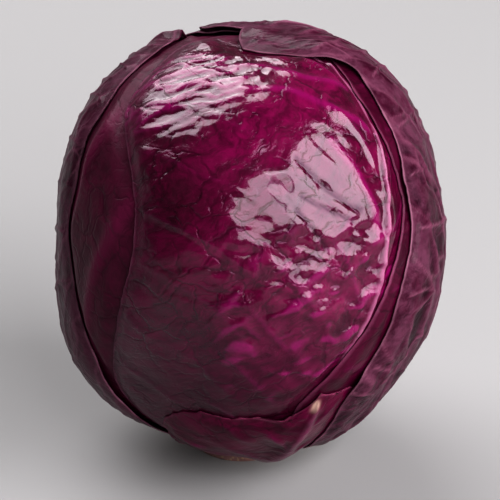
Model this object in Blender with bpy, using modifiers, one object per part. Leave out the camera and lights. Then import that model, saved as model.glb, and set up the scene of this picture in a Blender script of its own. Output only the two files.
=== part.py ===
"""Red cabbage head, whole: a tight inner head, six wrapper leaves that drape over it and over each
other, and the trimmed stem that it stands on. Metres, +Z up, origin at the middle of the stem's cut
face. Longitude 0 faces -Y and grows towards +X; latitude is seen from the middle of the head."""

import math

import bmesh
import bpy
import numpy as np
from mathutils import Matrix

# The tight inner head, a superellipsoid round a point on the stem's axis.
HEAD_CENTRE_Z = 0.0835
HEAD_HALF_WIDTH = 0.0686
HEAD_UPPER_HEIGHT = 0.0782
HEAD_LOWER_DEPTH = 0.0764
HEAD_ROUNDNESS = 2.15
SWELL_HEIGHT = 0.0007
SWELL_COUNT = 7
SLOWEST_SWELL = 4.0

# The trimmed stem.
STEM_RADIUS = 0.0190
STEM_TOP_RADIUS = 0.0178
STEM_HEIGHT = 0.0160
STEM_EDGE = 0.0010
STEM_SIDES = 40
FIT_GAP = 0.0004

# Every wrapper leaf.
LEAF_THICKNESS = 0.0007
LEAF_GAP = 0.0008
MARGIN_THICKNESS = 0.0006
MARGIN_TAPER_DEG = 7.0
DRAPE_PAD_DEG = 2.0
DRAPE_FALL_DEG = 17.0
FREE_PAD_DEG = 1.5
FREE_FALL_DEG = 6.0
LIFT_WIDTH_DEG = 13.0
LIFT_UNEVENNESS = 0.35
TIP_HALF_WIDTH = 0.25
TIP_LENGTH = 0.15
LIFT_WAVES = 9
MARGIN_WAVES = (7, 12)

# Midrib and side ribs, raised on the outer face. Lengths along and across a leaf are shares of it.
MIDRIB_HEIGHT = 0.0026
MIDRIB_TIP_HEIGHT = 0.0008
MIDRIB_HALF_WIDTH = 0.0075
MIDRIB_TIP_HALF_WIDTH = 0.0025
SIDE_RIB_HEIGHT = 0.0013
SIDE_RIB_FULL_TO = 0.6
SIDE_RIB_END = 0.95
RIB_FADE_SHARE = 0.12
ROWS_PER_RIB = 3
FIRST_ROW_SHARE = 0.075
LAST_ROW_SHARE = 0.935
ROW_RISE = 0.78
ROW_BEND_ACROSS = 0.24
ROW_BEND_ALONG = 0.62

COLOURS = {
    "inner_leaf": (0.085, 0.004, 0.026, 1.0),
    "front_leaf": (0.120, 0.004, 0.038, 1.0),
    "outer_leaf": (0.075, 0.014, 0.034, 1.0),
    "stem": (0.780, 0.700, 0.450, 1.0),
}

# One row for each wrapper leaf, the innermost first. centre: longitude and latitude of its middle.
# reach: degrees from there to its margin, at even steps clockwise from north. midrib: its base, two
# handles and its tip, in degrees east and north of the middle. lift: how far its free margin stands
# off, and tip_lift how much more a curled tip does. wave: how far its margin wanders, in degrees.
LEAVES = [
    {
        "name": "leaf_front",
        "centre": (45.0, 12.0),
        "reach": (97, 92, 82, 76, 78, 87, 86, 94, 99, 83, 77, 94),
        "midrib": ((-9, -85), (-52, -42), (20, -16), (23, 92)),
        "columns": 22,
        "ribs": 10,
        "lift": 0.0005,
        "wave": 0.8,
        "colour": "front_leaf",
    },
    {
        "name": "leaf_right_inner",
        "centre": (110.0, 5.0),
        "reach": (61, 66, 68, 66, 68, 82, 79, 88, 94, 65, 49, 57),
        "midrib": ((-2, -79), (8, -30), (12, 20), (20, 58)),
        "columns": 24,
        "ribs": 9,
        "lift": 0.0016,
        "wave": 0.7,
        "colour": "front_leaf",
    },
    {
        "name": "leaf_left",
        "centre": (-125.0, 5.0),
        "reach": (57, 56, 52, 57, 76, 90, 79, 86, 74, 66, 62, 60),
        "midrib": ((3, -79), (-6, -30), (-6, 20), (-12, 57)),
        "columns": 18,
        "ribs": 9,
        "lift": 0.0011,
        "tip_lift": 0.0035,
        "wave": 1.4,
        "colour": "outer_leaf",
    },
    {
        "name": "leaf_back",
        "centre": (175.0, 5.0),
        "reach": (67, 51, 53, 60, 70, 86, 79, 86, 73, 66, 70, 77),
        "midrib": ((0, -79), (9, -30), (-2, 20), (-24, 70)),
        "columns": 18,
        "ribs": 9,
        "lift": 0.0010,
        "wave": 1.3,
        "colour": "outer_leaf",
    },
    {
        "name": "leaf_stub",
        "centre": (16.0, -56.0),
        "reach": (24, 33, 31, 33, 33, 30, 26, 24, 22, 20, 21, 18.5)
        + (17.5, 18.5, 21, 23, 26, 29, 33, 33, 31, 28, 25, 22),
        "midrib": ((0, -17.5), (-2, -6), (3, 10), (8.5, 32)),
        "columns": 12,
        "ribs": 4,
        "lift": 0.0007,
        "wave": 0.9,
        "colour": "front_leaf",
    },
    {
        "name": "leaf_right",
        "centre": (120.0, 5.0),
        "reach": (79.5, 84, 82, 76, 71, 67, 66, 67, 70, 77, 82, 81)
        + (79, 86, 91, 90, 87.5, 77.5, 68, 60.5, 57, 55, 57.5, 62),
        "midrib": ((5, -79), (14, -30), (8, 20), (21, 73)),
        "columns": 20,
        "ribs": 9,
        "lift": 0.0010,
        "wave": 1.0,
        "colour": "outer_leaf",
    },
]

# The inner head's own outermost leaf, grown on to it: its step, and ribs that fan out from its base.
HEART_LEAF = {
    "centre": (-70.0, 14.0),
    "reach": (84, 80, 70, 62, 66, 76, 88, 76, 66, 62, 66, 76),
    "wave": 0.8,
}
HEART_STEP = 0.0012
HEART_STEP_FALL_DEG = 9.0
HEART_BASE_DEG = -92.0
HEART_RIB_HEIGHT = 0.0011
HEART_RIB_SPACING_DEG = 13.0
HEART_RIB_START_DEG = 20.0
HEART_RIB_FULL_DEG = 60.0
HEART_FREE_PAD_DEG = 4.0


def smooth_step(x):
    """0 below 0, 1 above 1, and an even S-curve between."""
    x = np.clip(x, 0.0, 1.0)
    return x * x * (3.0 - 2.0 * x)


def direction(lon_deg, lat_deg):
    """Unit vector from the middle of the head."""
    lon = math.radians(lon_deg)
    lat = math.radians(lat_deg)
    return np.array(
        [math.cos(lat) * math.sin(lon), -math.cos(lat) * math.cos(lon), math.sin(lat)]
    )


def compass(leaf):
    """The leaf's middle, and the directions east and north of it on the head."""
    middle = direction(*leaf["centre"])
    up = np.array([0.0, 0.0, 1.0])
    north = up - (up @ middle) * middle
    north /= np.linalg.norm(north)
    return middle, np.cross(north, middle), north


def reach(leaf, bearing_deg):
    """Degrees from the leaf's middle to its margin at these bearings, waves included."""
    values = np.array(leaf["reach"], float)
    place = np.asarray(bearing_deg, float) * len(values) / 360.0
    low = np.floor(place).astype(int)
    f = place - low
    p0, p1, p2, p3 = (values[(low + k) % len(values)] for k in (-1, 0, 1, 2))
    curve = p1 + 0.5 * f * (
        p2 - p0 + f * (2 * p0 - 5 * p1 + 4 * p2 - p3 + f * (3 * (p1 - p2) + p3 - p0))
    )
    turn = np.radians(bearing_deg)
    phase = leaf["centre"][0]
    slow, fast = MARGIN_WAVES
    waves = np.sin(slow * turn + phase) + 0.7 * np.sin(fast * turn + 2 * phase)
    return curve + leaf["wave"] * waves * np.cos(turn / 2) ** 2


def to_chart(leaf, d):
    """Distance and bearing of directions d from the leaf's middle, in degrees."""
    middle, east, north = compass(leaf)
    distance = np.degrees(np.arccos(np.clip(d @ middle, -1.0, 1.0)))
    return distance, np.degrees(np.arctan2(d @ east, d @ north))


def from_chart(leaf, x_deg, y_deg):
    """Directions of points that lie x degrees east and y degrees north of the leaf's middle."""
    middle, east, north = compass(leaf)
    distance = np.hypot(x_deg, y_deg)
    away = np.where(distance > 1e-9, distance, 1.0)
    side = np.outer(x_deg / away, east) + np.outer(y_deg / away, north)
    turn = np.radians(distance)[:, None]
    return np.cos(turn) * middle + np.sin(turn) * side


def cover(leaf, d, pad=DRAPE_PAD_DEG, fall=DRAPE_FALL_DEG):
    """1 where the leaf lies and for pad degrees round it, then falling smoothly to 0."""
    distance, bearing = to_chart(leaf, d)
    return 1.0 - smooth_step((distance - reach(leaf, bearing) - pad) / fall)


def head_radius(d):
    """Distance from the middle to the inner head's surface, with its slow swells."""
    across = np.hypot(d[:, 0], d[:, 1]) / HEAD_HALF_WIDTH
    depth = np.where(d[:, 2] > 0, HEAD_UPPER_HEIGHT, HEAD_LOWER_DEPTH)
    along = np.abs(d[:, 2]) / depth
    p = HEAD_ROUNDNESS
    radius = (across**p + along**p) ** (-1 / p)
    golden = math.pi * (3 - math.sqrt(5))
    for k in range(SWELL_COUNT):
        rise = 1 - 2 * (k + 0.5) / SWELL_COUNT
        flat = math.sqrt(1 - rise * rise)
        axis = np.array([flat * math.cos(k * golden), flat * math.sin(k * golden), rise])
        pace = SLOWEST_SWELL + 0.5 * k
        radius = radius + SWELL_HEIGHT * np.sin(pace * (d @ axis) + 1.7 * k)
    return radius


def heart_relief(d):
    """The step and ribs of the inner head's own outermost leaf, where no wrapper presses on it."""
    distance, bearing = to_chart(HEART_LEAF, d)
    turn = np.radians(bearing)
    x = distance * np.sin(turn)
    y = distance * np.cos(turn) - HEART_BASE_DEG
    fan = np.degrees(np.arctan2(x, y)) / HEART_RIB_SPACING_DEG
    crest = np.cos(math.pi * (fan - np.round(fan))) ** 4
    span = HEART_RIB_FULL_DEG - HEART_RIB_START_DEG
    away = smooth_step((np.hypot(x, y) - HEART_RIB_START_DEG) / span)
    on_leaf = cover(HEART_LEAF, d, 0.0, HEART_STEP_FALL_DEG)
    free = free_of(-1, d, HEART_FREE_PAD_DEG)
    return on_leaf * (HEART_STEP + HEART_RIB_HEIGHT * crest * away) * free


def laid_on(index, d):
    """Radius of whatever lies under the leaf with this index."""
    radius = head_radius(d)
    for leaf in LEAVES[:index]:
        radius = radius + (LEAF_THICKNESS + LEAF_GAP) * cover(leaf, d)
    return radius


def free_of(index, d, pad=FREE_PAD_DEG):
    """1 where no later leaf presses on this one, 0 where one does."""
    free = np.ones(len(d))
    for leaf in LEAVES[index + 1 :]:
        free = np.minimum(free, 1.0 - cover(leaf, d, pad, FREE_FALL_DEG))
    return free


def at_radius(d, radius):
    """Points at these directions and distances from the middle of the head."""
    points = d * radius[:, None]
    points[:, 2] += HEAD_CENTRE_Z
    return points


def midrib_place(leaf, t):
    """Chart place of the midrib's points, t running from 0 at its base to 1 at its tip."""
    p0, p1, p2, p3 = (np.array(p, float) for p in leaf["midrib"])
    t = t[:, None]
    u = 1 - t
    return u**3 * p0 + 3 * u * u * t * p1 + 3 * u * t * t * p2 + t**3 * p3


def rib_rows(leaf, s, t):
    """Chart place, in degrees, of leaf places s across (-1 to 1) and t along (0 to 1). Rows leave the
    midrib steeply and bend out to the margin, as the side ribs do."""
    middle = midrib_place(leaf, t)
    base, tip = (math.degrees(math.atan2(*leaf["midrib"][k])) for k in (0, 3))
    base %= 360.0
    share = FIRST_ROW_SHARE + (LAST_ROW_SHARE - FIRST_ROW_SHARE) * t**ROW_RISE
    right = base + (tip - base) * share
    left = base + (tip + 360.0 - base) * share
    bearing = np.where(s >= 0, right, left)
    far = reach(leaf, bearing)
    turn = np.radians(bearing)
    edge = np.stack([far * np.sin(turn), far * np.cos(turn)], axis=1)
    bend = middle + (edge - middle) * np.array([ROW_BEND_ACROSS, ROW_BEND_ALONG])
    u = np.abs(s)[:, None]
    place = (1 - u) ** 2 * middle + 2 * u * (1 - u) * bend + u**2 * edge
    return place[:, 0], place[:, 1]


def rib_relief(leaf, s, t, across):
    """Height of the ribs on the outer face. across: metres from the midrib."""
    fade = smooth_step(t / RIB_FADE_SHARE) * smooth_step((1 - t) / RIB_FADE_SHARE)
    width = MIDRIB_HALF_WIDTH + (MIDRIB_TIP_HALF_WIDTH - MIDRIB_HALF_WIDTH) * t
    height = MIDRIB_HEIGHT + (MIDRIB_TIP_HEIGHT - MIDRIB_HEIGHT) * t
    midrib = height * np.exp(-((across / width) ** 2))
    place = leaf["ribs"] * t - np.where(s < 0, 1.0 / ROWS_PER_RIB, 0.0)
    crest = np.clip(1.0 - ROWS_PER_RIB * np.abs(place - np.round(place)), 0.0, 1.0)
    past = (np.abs(s) - SIDE_RIB_FULL_TO) / (SIDE_RIB_END - SIDE_RIB_FULL_TO)
    side = SIDE_RIB_HEIGHT * crest * (1 - smooth_step(past))
    return fade * np.maximum(midrib, side)


def new_object(name, mesh, colour, collection):
    """A named object with its own material, in the head's collection."""
    material = bpy.data.materials.new(name)
    material.use_nodes = True
    shader = material.node_tree.nodes["Principled BSDF"]
    shader.inputs["Base Color"].default_value = COLOURS[colour]
    shader.inputs["Roughness"].default_value = 0.6 if colour == "stem" else 0.35
    shader.inputs["Metallic"].default_value = 0.0
    mesh.materials.append(material)
    mesh.shade_smooth()
    mesh.set_sharp_from_angle(angle=math.radians(50))
    thing = bpy.data.objects.new(name, mesh)
    collection.objects.link(thing)
    return thing


def make_leaf(index, collection):
    """One wrapper leaf: a grid laid on what is under it, thickened outwards, ribs on its outside."""
    leaf = LEAVES[index]
    bm = bmesh.new()
    rows = leaf["ribs"] * ROWS_PER_RIB
    bmesh.ops.create_grid(bm, x_segments=leaf["columns"], y_segments=rows, size=1.0)
    bmesh.ops.triangulate(bm, faces=bm.faces[:], quad_method="FIXED")
    grown = bmesh.ops.extrude_face_region(bm, geom=bm.faces[:])["geom"]
    outer = {v for v in grown if isinstance(v, bmesh.types.BMVert)}
    verts = list(bm.verts)
    flat = np.array([v.co[:] for v in verts])
    is_outer = np.array([v in outer for v in verts], float)
    s = flat[:, 0]
    t = (flat[:, 1] + 1.0) / 2.0

    x, y = rib_rows(leaf, s, t)
    d = from_chart(leaf, x, y)
    middle = from_chart(leaf, *rib_rows(leaf, np.zeros_like(s), t))
    across = HEAD_HALF_WIDTH * np.arccos(np.clip((d * middle).sum(1), -1.0, 1.0))
    bearing = np.degrees(np.arctan2(x, y))
    inside = reach(leaf, bearing) - np.hypot(x, y)
    free = free_of(index, d)

    taper = smooth_step(inside / MARGIN_TAPER_DEG)
    thick = MARGIN_THICKNESS + (LEAF_THICKNESS - MARGIN_THICKNESS) * taper
    lift = leaf["lift"] * free * (1 - smooth_step(inside / LIFT_WIDTH_DEG)) * smooth_step(4 * t)
    uneven = LIFT_UNEVENNESS * np.sin(LIFT_WAVES * np.radians(bearing) + index)
    lift *= 1 - LIFT_UNEVENNESS + uneven
    tip = np.exp(-((s / TIP_HALF_WIDTH) ** 2)) * smooth_step((t - 1) / TIP_LENGTH + 1)
    lift += leaf.get("tip_lift", 0.0) * tip * free
    ribs = rib_relief(leaf, s, t, across) * free * taper
    radius = laid_on(index, d) + LEAF_GAP + lift + is_outer * (thick + ribs)
    for vert, point in zip(verts, at_radius(d, radius)):
        vert.co = point
    bmesh.ops.recalc_face_normals(bm, faces=bm.faces[:])
    mesh = bpy.data.meshes.new(leaf["name"])
    bm.to_mesh(mesh)
    bm.free()
    return new_object(leaf["name"], mesh, leaf["colour"], collection)


def make_stem(collection):
    """The stem, cut straight across, a little narrower at its top."""
    bm = bmesh.new()
    bmesh.ops.create_cone(
        bm,
        cap_ends=True,
        segments=STEM_SIDES,
        radius1=STEM_RADIUS,
        radius2=STEM_TOP_RADIUS,
        depth=STEM_HEIGHT,
        matrix=Matrix.Translation((0, 0, STEM_HEIGHT / 2)),
    )
    mesh = bpy.data.meshes.new("stem")
    bm.to_mesh(mesh)
    bm.free()
    stem = new_object("stem", mesh, "stem", collection)
    edge = stem.modifiers.new("worn edge", "BEVEL")
    edge.width = STEM_EDGE
    edge.segments = 2
    return stem


def make_inner_head(collection, cutters):
    """The tight ball of inner leaves, with a pocket that the stem sits in."""
    bm = bmesh.new()
    bmesh.ops.create_uvsphere(bm, u_segments=48, v_segments=30, radius=1.0)
    d = np.array([v.co.normalized()[:] for v in bm.verts])
    for vert, point in zip(bm.verts, at_radius(d, head_radius(d) + heart_relief(d))):
        vert.co = point
    mesh = bpy.data.meshes.new("inner_head")
    bm.to_mesh(mesh)
    bm.free()
    head = new_object("inner_head", mesh, "inner_leaf", collection)

    top = STEM_HEIGHT + FIT_GAP
    bpy.ops.mesh.primitive_cylinder_add(
        vertices=STEM_SIDES,
        radius=STEM_RADIUS + FIT_GAP,
        depth=2 * top,
        location=(0, 0, 0),
    )
    cutter = bpy.context.object
    cutter.name = "stem_pocket"
    cutter.hide_render = True
    cutter.display_type = "WIRE"
    for owner in list(cutter.users_collection):
        owner.objects.unlink(cutter)
    cutters.objects.link(cutter)
    pocket = head.modifiers.new("stem pocket", "BOOLEAN")
    pocket.operation = "DIFFERENCE"
    pocket.solver = "EXACT"
    pocket.object = cutter
    return head


for old in list(bpy.data.objects):
    bpy.data.objects.remove(old)

cabbage = bpy.data.collections.new("cabbage_head")
cutters = bpy.data.collections.new("cutters")
for group in (cabbage, cutters):
    bpy.context.scene.collection.children.link(group)

make_stem(cabbage)
make_inner_head(cabbage, cutters)
for number in range(len(LEAVES)):
    make_leaf(number, cabbage)
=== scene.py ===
import math

import bmesh
import bpy
import numpy as np
from mathutils import Matrix


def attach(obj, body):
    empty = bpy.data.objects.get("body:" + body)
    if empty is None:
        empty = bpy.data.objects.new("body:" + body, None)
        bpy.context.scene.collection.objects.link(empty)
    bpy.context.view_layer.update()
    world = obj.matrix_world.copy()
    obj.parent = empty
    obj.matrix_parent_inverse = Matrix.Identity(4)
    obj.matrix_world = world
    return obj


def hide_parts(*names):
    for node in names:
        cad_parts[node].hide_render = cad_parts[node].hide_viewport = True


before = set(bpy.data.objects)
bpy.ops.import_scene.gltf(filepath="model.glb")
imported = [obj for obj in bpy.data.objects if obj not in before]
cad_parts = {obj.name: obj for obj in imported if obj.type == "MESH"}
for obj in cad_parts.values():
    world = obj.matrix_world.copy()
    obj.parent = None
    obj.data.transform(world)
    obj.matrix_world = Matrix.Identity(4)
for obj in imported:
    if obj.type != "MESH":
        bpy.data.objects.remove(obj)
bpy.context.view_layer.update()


# Inner head: the tight ball of folded inner leaves that everything else lies on. Waxy magenta-purple
# leaf. One fine ball, swelled by formula, with the step and ribs of its outermost leaf on it; what
# presses on it is worked out from the outlines of the wrapper leaves, which are the solids' own.

HEAD_CENTRE_Z = 0.0835
HEAD_HALF_WIDTH = 0.0686
HEAD_UPPER_HEIGHT = 0.0782
HEAD_LOWER_DEPTH = 0.0764
HEAD_ROUNDNESS = 2.15
SWELL_HEIGHT = 0.0007
SWELL_COUNT = 7
SLOWEST_SWELL = 4.0
SWELL_PACE_STEP = 0.5
SWELL_TURN = 1.7

# How far past its margin a leaf still carries what lies on it, keeps what is under it smooth, and holds
# it down, and over how many more degrees each fades out.
DRAPE_PAD_DEG = 2.0
DRAPE_FALL_DEG = 7.0
FREE_PAD_DEG = 0.5
FREE_FALL_DEG = 2.5
LIFT_PAD_DEG = 1.0
LIFT_FALL_DEG = 6.0
MARGIN_WAVES = (7, 12)
FAST_WAVE_SHARE = 0.7
GRAIN_TABLE = 256
GRAIN_SHIFT = 64.0
GRAIN_GAIN = 1.6

# The wrapper leaves from the innermost out. centre: longitude and latitude, 0 at the front. reach:
# degrees from there to the margin, at even steps clockwise from north. midrib: base, two handles, tip.
# wave: how many degrees the margin waves in and out. tip_lift: metres that the tip stands off.
LEAVES = {
    "leaf_front": {
        "centre": (45.0, 12.0),
        "reach": (97, 92, 82, 76, 78, 87, 86, 94, 99, 83, 77, 94),
        "midrib": ((-9, -85), (-52, -42), (20, -16), (23, 92)),
        "wave": 0.8,
    },
    "leaf_right_inner": {
        "centre": (110.0, 5.0),
        "reach": (61, 66, 68, 66, 68, 82, 79, 88, 94, 65, 49, 57),
        "midrib": ((-2, -79), (8, -30), (12, 20), (20, 58)),
        "wave": 0.7,
    },
    "leaf_left": {
        "centre": (-125.0, 5.0),
        "reach": (57, 56, 52, 57, 76, 90, 79, 86, 74, 66, 62, 60),
        "midrib": ((3, -79), (-6, -30), (-6, 20), (-12, 57)),
        "wave": 1.4,
        "tip_lift": 0.0035,
    },
    "leaf_back": {
        "centre": (175.0, 5.0),
        "reach": (67, 51, 53, 60, 70, 86, 79, 86, 73, 66, 70, 77),
        "midrib": ((0, -79), (9, -30), (-2, 20), (-24, 70)),
        "wave": 1.3,
    },
    "leaf_stub": {
        "centre": (16.0, -56.0),
        "reach": (24, 33, 31, 33, 33, 30, 26, 24, 22, 20, 21, 18.5)
        + (17.5, 18.5, 21, 23, 26, 29, 33, 33, 31, 28, 25, 22),
        "midrib": ((0, -17.5), (-2, -6), (3, 10), (8.5, 32)),
        "wave": 0.9,
    },
    "leaf_right": {
        "centre": (120.0, 5.0),
        "reach": (79.5, 84, 82, 76, 71, 67, 66, 67, 70, 77, 82, 81)
        + (79, 86, 91, 90, 87.5, 77.5, 68, 60.5, 57, 55, 57.5, 62),
        "midrib": ((5, -79), (14, -30), (8, 20), (21, 73)),
        "wave": 1.0,
    },
}
HEART_LEAF = {
    "centre": (-70.0, 14.0),
    "reach": (84, 80, 70, 62, 66, 76, 88, 76, 66, 62, 66, 76),
    "wave": 0.8,
}
HEART_STEP = 0.0012
HEART_STEP_FALL_DEG = 1.2
HEART_BASE_DEG = -92.0
HEART_RIB_HEIGHT = 0.0010
HEART_RIB_SPACING_DEG = 13.0
HEART_RIB_WIDTH = 0.13
HEART_RIB_START_DEG = 20.0
HEART_RIB_FULL_DEG = 60.0
HEART_BUCKLE = 0.0005
HEART_BUCKLE_SIZE = 0.016
HEART_PALE_RADIUS = 0.026
HEART_PALE_FALL = 0.010
HEART_SEGMENTS = 240
HEART_RINGS = 150
STEM_POCKET_RADIUS = 0.0193
STEM_POCKET_TOP = 0.0164


def smooth_step(x):
    """0 below 0, 1 above 1, and an even S-curve between."""
    x = np.clip(x, 0.0, 1.0)
    return x * x * (3.0 - 2.0 * x)


def bump_at(x, width):
    """1 where x is 0, falling to 0 over about width on both sides."""
    return np.exp(-((x / width) ** 2))


def grain(points, size, seed):
    """Smooth random values from about -1 to 1, which change over lengths of about size metres."""
    rng = np.random.default_rng(seed)
    order = rng.permutation(GRAIN_TABLE)
    slopes = rng.normal(size=(GRAIN_TABLE, 3))
    slopes /= np.linalg.norm(slopes, axis=1)[:, None]
    place = points / size + GRAIN_SHIFT
    cell = np.floor(place).astype(int)
    f = place - cell
    ease = f**3 * (f * (f * 6 - 15) + 10)
    total = np.zeros(len(points))
    for corner in np.ndindex(2, 2, 2):
        key = np.zeros(len(points), int)
        weight = np.ones(len(points))
        for axis in range(3):
            key = order[(key + cell[:, axis] + corner[axis]) % GRAIN_TABLE]
            weight *= ease[:, axis] if corner[axis] else 1 - ease[:, axis]
        total += weight * ((f - corner) * slopes[key]).sum(1)
    return GRAIN_GAIN * total


def compass(leaf):
    """The leaf's middle, and the directions east and north of it on the head."""
    lon, lat = (math.radians(angle) for angle in leaf["centre"])
    middle = np.array(
        [math.cos(lat) * math.sin(lon), -math.cos(lat) * math.cos(lon), math.sin(lat)]
    )
    up = np.array([0.0, 0.0, 1.0])
    north = up - (up @ middle) * middle
    north /= np.linalg.norm(north)
    return middle, np.cross(north, middle), north


def reach(leaf, bearing_deg):
    """Degrees from the leaf's middle to its margin at these bearings, waves included."""
    values = np.array(leaf["reach"], float)
    place = np.asarray(bearing_deg, float) * len(values) / 360.0
    low = np.floor(place).astype(int)
    f = place - low
    p0, p1, p2, p3 = (values[(low + k) % len(values)] for k in (-1, 0, 1, 2))
    curve = p1 + 0.5 * f * (
        p2 - p0 + f * (2 * p0 - 5 * p1 + 4 * p2 - p3 + f * (3 * (p1 - p2) + p3 - p0))
    )
    turn = np.radians(bearing_deg)
    phase = leaf["centre"][0]
    slow, fast = MARGIN_WAVES
    waves = np.sin(slow * turn + phase) + FAST_WAVE_SHARE * np.sin(fast * turn + 2 * phase)
    return curve + leaf["wave"] * waves * np.cos(turn / 2) ** 2


def to_chart(leaf, d):
    """Places of directions d, in degrees east and north of the leaf's middle."""
    middle, east, north = compass(leaf)
    distance = np.degrees(np.arccos(np.clip(d @ middle, -1.0, 1.0)))
    turn = np.arctan2(d @ east, d @ north)
    return distance * np.sin(turn), distance * np.cos(turn)


def from_chart(leaf, x_deg, y_deg):
    """Directions of points that lie x degrees east and y degrees north of the leaf's middle."""
    middle, east, north = compass(leaf)
    distance = np.hypot(x_deg, y_deg)
    away = np.where(distance > 1e-9, distance, 1.0)
    side = np.outer(x_deg / away, east) + np.outer(y_deg / away, north)
    turn = np.radians(distance)[:, None]
    return np.cos(turn) * middle + np.sin(turn) * side


def cover(leaf, d, pad=DRAPE_PAD_DEG, fall=DRAPE_FALL_DEG):
    """1 where the leaf lies and for pad degrees round it, then falling smoothly to 0."""
    x, y = to_chart(leaf, d)
    outside = np.hypot(x, y) - reach(leaf, np.degrees(np.arctan2(x, y)))
    return 1.0 - smooth_step((outside - pad) / fall)


def head_radius(d):
    """Distance from the middle to the inner head's surface, with its slow swells."""
    across = np.hypot(d[:, 0], d[:, 1]) / HEAD_HALF_WIDTH
    depth = np.where(d[:, 2] > 0, HEAD_UPPER_HEIGHT, HEAD_LOWER_DEPTH)
    along = np.abs(d[:, 2]) / depth
    p = HEAD_ROUNDNESS
    radius = (across**p + along**p) ** (-1 / p)
    golden = math.pi * (3 - math.sqrt(5))
    for k in range(SWELL_COUNT):
        rise = 1 - 2 * (k + 0.5) / SWELL_COUNT
        flat = math.sqrt(1 - rise * rise)
        axis = np.array([flat * math.cos(k * golden), flat * math.sin(k * golden), rise])
        pace = SLOWEST_SWELL + SWELL_PACE_STEP * k
        radius = radius + SWELL_HEIGHT * np.sin(pace * (d @ axis) + SWELL_TURN * k)
    return radius


def free_of(later, d, pad=FREE_PAD_DEG, fall=FREE_FALL_DEG):
    """1 where none of the later leaves presses on what is under them, 0 where one does."""
    free = np.ones(len(d))
    for name in later:
        free = np.minimum(free, 1.0 - cover(LEAVES[name], d, pad, fall))
    return free


def at_radius(d, radius):
    """Points at these directions and distances from the middle of the head."""
    points = d * radius[:, None]
    points[:, 2] += HEAD_CENTRE_Z
    return points


class Value:
    """A node's output that can stand in sums: each operator adds a Math node."""

    def __init__(self, paint, socket):
        self.paint = paint
        self.socket = socket

    def math(self, operation, first, second):
        return self.paint.node("ShaderNodeMath", {"operation": operation}, {0: first, 1: second})

    def __add__(self, other):
        return self.math("ADD", self, other)

    def __radd__(self, other):
        return self.math("ADD", other, self)

    def __sub__(self, other):
        return self.math("SUBTRACT", self, other)

    def __rsub__(self, other):
        return self.math("SUBTRACT", other, self)

    def __mul__(self, other):
        return self.math("MULTIPLY", self, other)

    def __rmul__(self, other):
        return self.math("MULTIPLY", other, self)


class Paint:
    """A material on the Principled shader. Fixed values are set on the shader's own sockets."""

    def __init__(self, name, fixed):
        self.material = bpy.data.materials.new(name)
        self.material.use_nodes = True
        self.tree = self.material.node_tree
        self.shader = self.tree.nodes["Principled BSDF"]
        for socket, value in fixed.items():
            self.shader.inputs[socket].default_value = value

    def feed(self, socket, value):
        """Links a wrapped output to a socket, or sets the socket to a plain value."""
        if isinstance(value, Value):
            self.tree.links.new(value.socket, socket)
        else:
            socket.default_value = value

    def node(self, kind, settings, values, output=0):
        """Adds a node: its settings first, then its sockets' values or links."""
        made = self.tree.nodes.new(kind)
        for name, setting in settings.items():
            setattr(made, name, setting)
        for socket, value in values.items():
            self.feed(made.inputs[socket], value)
        return Value(self, made.outputs[output])

    def attribute(self, name, output="Fac"):
        return self.node("ShaderNodeAttribute", {"attribute_name": name}, {}, output)

    def spread(self, value, low, high):
        """0 at low, 1 at high, and smooth between."""
        settings = {"interpolation_type": "SMOOTHSTEP"}
        values = {"Value": value, "From Min": low, "From Max": high}
        return self.node("ShaderNodeMapRange", settings, values)

    def mix(self, under, over, share):
        """Colour over on colour under, by a share from 0 to 1."""
        values = {"Factor": share, 6: under, 7: over}
        return self.node("ShaderNodeMix", {"data_type": "RGBA"}, values, 2)

    def cloud(self, place, size, detail=3.0, rough=0.55, output="Fac"):
        """Soft random values from 0 to 1, which change over lengths of about size metres."""
        values = {"Vector": place, "Scale": 1 / size, "Detail": detail, "Roughness": rough}
        return self.node("ShaderNodeTexNoise", {}, values, output)

    def shift(self, place, by, amount):
        """Place pushed about by a colour, by up to half of amount each way."""
        off = self.node("ShaderNodeVectorMath", {"operation": "SUBTRACT"}, {0: by, 1: (0.5,) * 3})
        off = self.node("ShaderNodeVectorMath", {"operation": "SCALE"}, {0: off, "Scale": amount})
        return self.node("ShaderNodeVectorMath", {"operation": "ADD"}, {0: place, 1: off})

    def along(self, place, turn_deg, longer):
        """Place squeezed along a grain turned turn_deg from x, so that what it feeds is drawn out."""
        values = {"Vector": place, "Rotation": (0, 0, math.radians(turn_deg)), "Scale": (longer, 1, 1)}
        return self.node("ShaderNodeMapping", {"vector_type": "TEXTURE"}, values)

    def veins(self, place, size, width):
        """1 on the walls of a random net with cells of about size metres, 0 off them."""
        settings = {"feature": "DISTANCE_TO_EDGE"}
        values = {"Vector": place, "Scale": 1 / size, "Randomness": 1.0}
        wall = self.node("ShaderNodeTexVoronoi", settings, values)
        return 1 - self.spread(wall, 0.0, width / size)

    def specks(self, place, size, share):
        """1 on small dots, in about one in every few cells of about size metres."""
        values = {"Vector": place, "Scale": 1 / size, "Randomness": 1.0}
        dot = self.node("ShaderNodeTexVoronoi", {"feature": "F1"}, values, "Distance")
        return 1 - self.spread(dot, 0.5 * share, share)

    def bump(self, height_mm):
        """A relief of this height, in millimetres, on the shader's normal."""
        values = {"Height": height_mm, "Distance": 0.001, "Strength": 1.0}
        self.feed(self.shader.inputs["Normal"], self.node("ShaderNodeBump", {}, values))


# What the leaf paint reads at each point, from 0 to 1: midrib, side ribs and paler crests (in places
# painted highlights), margin, bare flesh, brighter purple (in places painted light), painted shade, and
# where the skin doesn't shine.
LEAF_VALUES = ("spine", "rib", "rim", "pale", "glow", "shade", "dull")
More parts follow.
